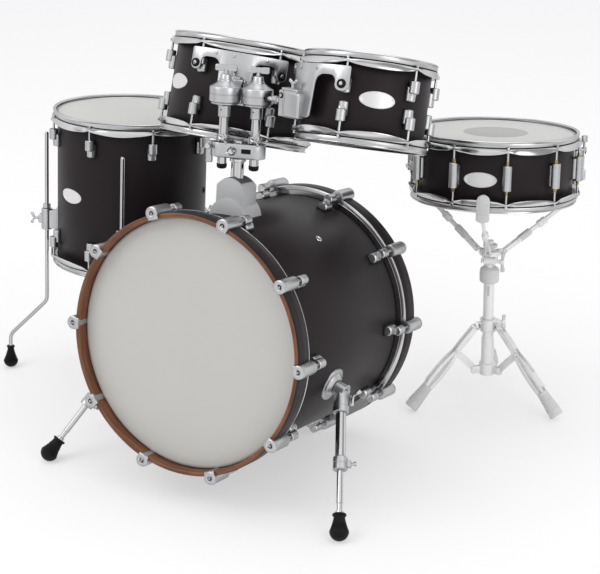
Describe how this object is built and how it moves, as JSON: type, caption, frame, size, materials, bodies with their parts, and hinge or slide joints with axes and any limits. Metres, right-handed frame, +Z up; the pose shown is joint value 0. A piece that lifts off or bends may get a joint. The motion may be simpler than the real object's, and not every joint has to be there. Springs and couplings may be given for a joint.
{
  "type": "drum kit",
  "caption": "Drum kit: bass drum on folding spurs with two toms on a post, a floor tom on sliding legs and a snare drum on a folding stand.",
  "frame": {"origin": "middle of the kit's footprint on the floor", "axes": "+Z up, -Y towards the audience (bass drum's front head), +X to the right as seen from the front"},
  "size_m": [1.3524, 1.0348, 0.9323],
  "materials": {
    "black_shell": "satin black-brown wrap on a wooden shell",
    "hoop_wood": "brown stained inner face and front edge, satin black outside, plated claws",
    "chrome": "bright plating",
    "cast_metal": "cast, satin grey",
    "pale_metal": "pale plated finish, softly worn",
    "bass_head": "white film, smooth",
    "batter_head": "white coated film",
    "clear_head": "thin clear film"
  },
  "bodies": {
    "kit": {"bass_shell": "black_shell", "bass_head_front": "bass_head", "bass_head_rear": "bass_head", "bass_hoop_front": "hoop_wood", "bass_hoop_rear": "hoop_wood", "tom_mount_base": "cast_metal", "spur_bracket_left": "chrome", "spur_bracket_right": "chrome", "floor_tom_shell": "black_shell", "floor_tom_top_rim": "chrome", "floor_tom_bottom_rim": "chrome", "floor_tom_batter_head": "batter_head", "floor_tom_resonant_head": "clear_head", "stand_base_tube": "pale_metal"},
    "tom_post": {"tom_post": "chrome"},
    "tom_block": {"tom_clamp_block": "cast_metal"},
    "tom_arm_left": {"tom_arm_left": "chrome"},
    "tom_rod_left": {"tom_rod_left": "chrome"},
    "tom_left": {"tom_left_shell": "black_shell", "tom_left_top_rim": "chrome", "tom_left_bottom_rim": "chrome", "tom_left_batter_head": "batter_head", "tom_left_resonant_head": "clear_head", "tom_bracket_left": "chrome"},
    "spur_tube_left": {"spur_tube_left": "chrome"},
    "spur_rod_left": {"spur_rod_left": "chrome"},
    "tom_arm_right": {"tom_arm_right": "chrome"},
    "tom_rod_right": {"tom_rod_right": "chrome"},
    "tom_right": {"tom_right_shell": "black_shell", "tom_right_top_rim": "chrome", "tom_right_bottom_rim": "chrome", "tom_right_batter_head": "batter_head", "tom_right_resonant_head": "clear_head", "tom_bracket_right": "chrome"},
    "spur_tube_right": {"spur_tube_right": "chrome"},
    "spur_rod_right": {"spur_rod_right": "chrome"},
    "floor_tom_leg_1": {"floor_tom_leg_1": "chrome"},
    "floor_tom_leg_2": {"floor_tom_leg_2": "chrome"},
    "floor_tom_leg_3": {"floor_tom_leg_3": "chrome"},
    "stand_leg_collar": {"stand_leg_collar": "pale_metal"},
    "stand_leg_1": {"stand_leg_1": "pale_metal"},
    "stand_leg_2": {"stand_leg_2": "pale_metal"},
    "stand_leg_3": {"stand_leg_3": "pale_metal"},
    "stand_strut_1": {"stand_strut_1": "pale_metal"},
    "stand_strut_2": {"stand_strut_2": "pale_metal"},
    "stand_strut_3": {"stand_strut_3": "pale_metal"},
    "stand_upper_tube": {"stand_upper_tube": "pale_metal"},
    "snare_basket": {"stand_basket_hub": "pale_metal", "snare_shell": "black_shell", "snare_top_rim": "chrome", "snare_bottom_rim": "chrome", "snare_batter_head": "batter_head", "snare_resonant_head": "clear_head", "snare_strainer": "chrome", "snare_butt_plate": "chrome", "snare_wires": "chrome"},
    "basket_arm_1": {"stand_basket_arm_1": "pale_metal"},
    "basket_arm_2": {"stand_basket_arm_2": "pale_metal"},
    "basket_arm_3": {"stand_basket_arm_3": "pale_metal"},
    "snare_lever": {"snare_strainer_lever": "chrome"}
  },
  "joints": [
    {"name": "tom_post_slide", "type": "slide", "parent": "kit", "child": "tom_post", "axis": [0, 0.1452, 0.9894], "range_m": [-0.02, 0.05]},
    {"name": "tom_block_swivel", "type": "hinge", "parent": "tom_post", "child": "tom_block", "pos_m": [0.13066, -0.25878, 0.57079], "axis": [0, 0.1452, 0.9894], "range_deg": [-10, 2]},
    {"name": "tom_arm_left_swivel", "type": "hinge", "parent": "tom_block", "child": "tom_arm_left", "pos_m": [0.09871, -0.27029, 0.57248], "axis": [0, 0.1452, 0.9894], "range_deg": [-8, 1]},
    {"name": "tom_rod_left_tilt", "type": "hinge", "parent": "tom_arm_left", "child": "tom_rod_left", "pos_m": [0.09871, -0.23442, 0.81686], "axis": [-0.9669, -0.2526, 0.0371], "range_deg": [-10, 10]},
    {"name": "tom_left_slide", "type": "slide", "parent": "tom_rod_left", "child": "tom_left", "axis": [-0.2553, 0.9566, -0.1404], "range_m": [-0.007, 0.015]},
    {"name": "tom_arm_right_swivel", "type": "hinge", "parent": "tom_block", "child": "tom_arm_right", "pos_m": [0.16261, -0.24728, 0.5691], "axis": [0, 0.1452, 0.9894], "range_deg": [-10, 4]},
    {"name": "tom_rod_right_tilt", "type": "hinge", "parent": "tom_arm_right", "child": "tom_rod_right", "pos_m": [0.16261, -0.21141, 0.81348], "axis": [0.3286, 0.9345, -0.1372], "range_deg": [-10, 10]},
    {"name": "tom_right_slide", "type": "slide", "parent": "tom_rod_right", "child": "tom_right", "axis": [0.9445, -0.3251, 0.0477], "range_m": [-0.01, 0.015]},
    {"name": "floor_tom_leg_1_slide", "type": "slide", "parent": "kit", "child": "floor_tom_leg_1", "axis": [0.0222, 0.0772, 0.9968], "range_m": [-0.04, 0.05]},
    {"name": "floor_tom_leg_2_slide", "type": "slide", "parent": "kit", "child": "floor_tom_leg_2", "axis": [0.0222, 0.0772, 0.9968], "range_m": [-0.04, 0.05]},
    {"name": "floor_tom_leg_3_slide", "type": "slide", "parent": "kit", "child": "floor_tom_leg_3", "axis": [0.0222, 0.0772, 0.9968], "range_m": [-0.04, 0.05]},
    {"name": "spur_left_hinge", "type": "hinge", "parent": "kit", "child": "spur_tube_left", "pos_m": [-0.13402, -0.28144, 0.23047], "axis": [-0.9511, -0.0449, -0.3057], "range_deg": [0, 60]},
    {"name": "spur_left_slide", "type": "slide", "parent": "spur_tube_left", "child": "spur_rod_left", "axis": [-0.3374, -0.6378, -0.6923], "range_m": [-0.06, 0.03]},
    {"name": "spur_right_hinge", "type": "hinge", "parent": "kit", "child": "spur_tube_right", "pos_m": [0.39533, -0.28144, 0.23048], "axis": [-0.9511, 0.0449, 0.3057], "range_deg": [0, 60]},
    {"name": "spur_right_slide", "type": "slide", "parent": "spur_tube_right", "child": "spur_rod_right", "axis": [0.3374, -0.6378, -0.6923], "range_m": [-0.06, 0.03]},
    {"name": "stand_collar_slide", "type": "slide", "parent": "kit", "child": "stand_leg_collar", "axis": [0, 0, 1], "range_m": [0, 0.0337]},
    {"name": "stand_leg_1_hinge", "type": "hinge", "parent": "stand_leg_collar", "child": "stand_leg_1", "pos_m": [0.49855, 0.28521, 0.19], "axis": [0.1616, 0.9869, 0], "range_deg": [0, 27.35]},
    {"name": "stand_leg_2_hinge", "type": "hinge", "parent": "stand_leg_collar", "child": "stand_leg_2", "pos_m": [0.457, 0.31922, 0.19], "axis": [-0.9354, -0.3535, 0], "range_deg": [0, 27.35]},
    {"name": "stand_leg_3_hinge", "type": "hinge", "parent": "stand_leg_collar", "child": "stand_leg_3", "pos_m": [0.44832, 0.26623, 0.19], "axis": [0.7738, -0.6334, 0], "range_deg": [0, 27.35]},
    {"name": "stand_strut_1_hinge", "type": "hinge", "parent": "kit", "child": "stand_strut_1", "pos_m": [0.49855, 0.28521, 0.08], "axis": [-0.1616, -0.9869, 0], "range_deg": [0, 27.35]},
    {"name": "stand_strut_2_hinge", "type": "hinge", "parent": "kit", "child": "stand_strut_2", "pos_m": [0.457, 0.31922, 0.08], "axis": [0.9354, 0.3535, 0], "range_deg": [0, 27.35]},
    {"name": "stand_strut_3_hinge", "type": "hinge", "parent": "kit", "child": "stand_strut_3", "pos_m": [0.44832, 0.26623, 0.08], "axis": [-0.7738, 0.6334, 0], "range_deg": [0, 27.35]},
    {"name": "stand_height_slide", "type": "slide", "parent": "kit", "child": "stand_upper_tube", "axis": [0, 0, 1], "range_m": [0, 0.12]},
    {"name": "basket_tilt", "type": "hinge", "parent": "stand_upper_tube", "child": "snare_basket", "pos_m": [0.46796, 0.29022, 0.347], "axis": [-0.9661, -0.258, 0], "range_deg": [-15, 10]},
    {"name": "basket_arm_1_hinge", "type": "hinge", "parent": "snare_basket", "child": "basket_arm_1", "pos_m": [0.47783, 0.26046, 0.37263], "axis": [0.9507, 0.3102, -0.0061], "range_deg": [0, 12]},
    {"name": "basket_arm_2_hinge", "type": "hinge", "parent": "snare_basket", "child": "basket_arm_2", "pos_m": [0.49007, 0.31777, 0.3668], "axis": [-0.7428, 0.663, -0.0928], "range_deg": [0, 12]},
    {"name": "basket_arm_3_hinge", "type": "hinge", "parent": "snare_basket", "child": "basket_arm_3", "pos_m": [0.43408, 0.2995, 0.36716], "axis": [-0.2078, -0.9732, 0.0989], "range_deg": [0, 12]},
    {"name": "snare_lever_hinge", "type": "hinge", "parent": "snare_basket", "child": "snare_lever", "pos_m": [0.63322, 0.42155, 0.54719], "axis": [-0.5371, 0.8369, -0.1056], "range_deg": [0, 80]}
  ],
  "couplings": [
    {"joint": "stand_leg_1_hinge", "follows": "stand_collar_slide", "rad_per_m": 14.165},
    {"joint": "stand_leg_2_hinge", "follows": "stand_collar_slide", "rad_per_m": 14.165},
    {"joint": "stand_leg_3_hinge", "follows": "stand_collar_slide", "rad_per_m": 14.165},
    {"joint": "stand_strut_1_hinge", "follows": "stand_collar_slide", "rad_per_m": 14.165},
    {"joint": "stand_strut_2_hinge", "follows": "stand_collar_slide", "rad_per_m": 14.165},
    {"joint": "stand_strut_3_hinge", "follows": "stand_collar_slide", "rad_per_m": 14.165},
    {"joint": "basket_arm_2_hinge", "follows": "basket_arm_1_hinge", "ratio": 1},
    {"joint": "basket_arm_3_hinge", "follows": "basket_arm_1_hinge", "ratio": 1}
  ]
}
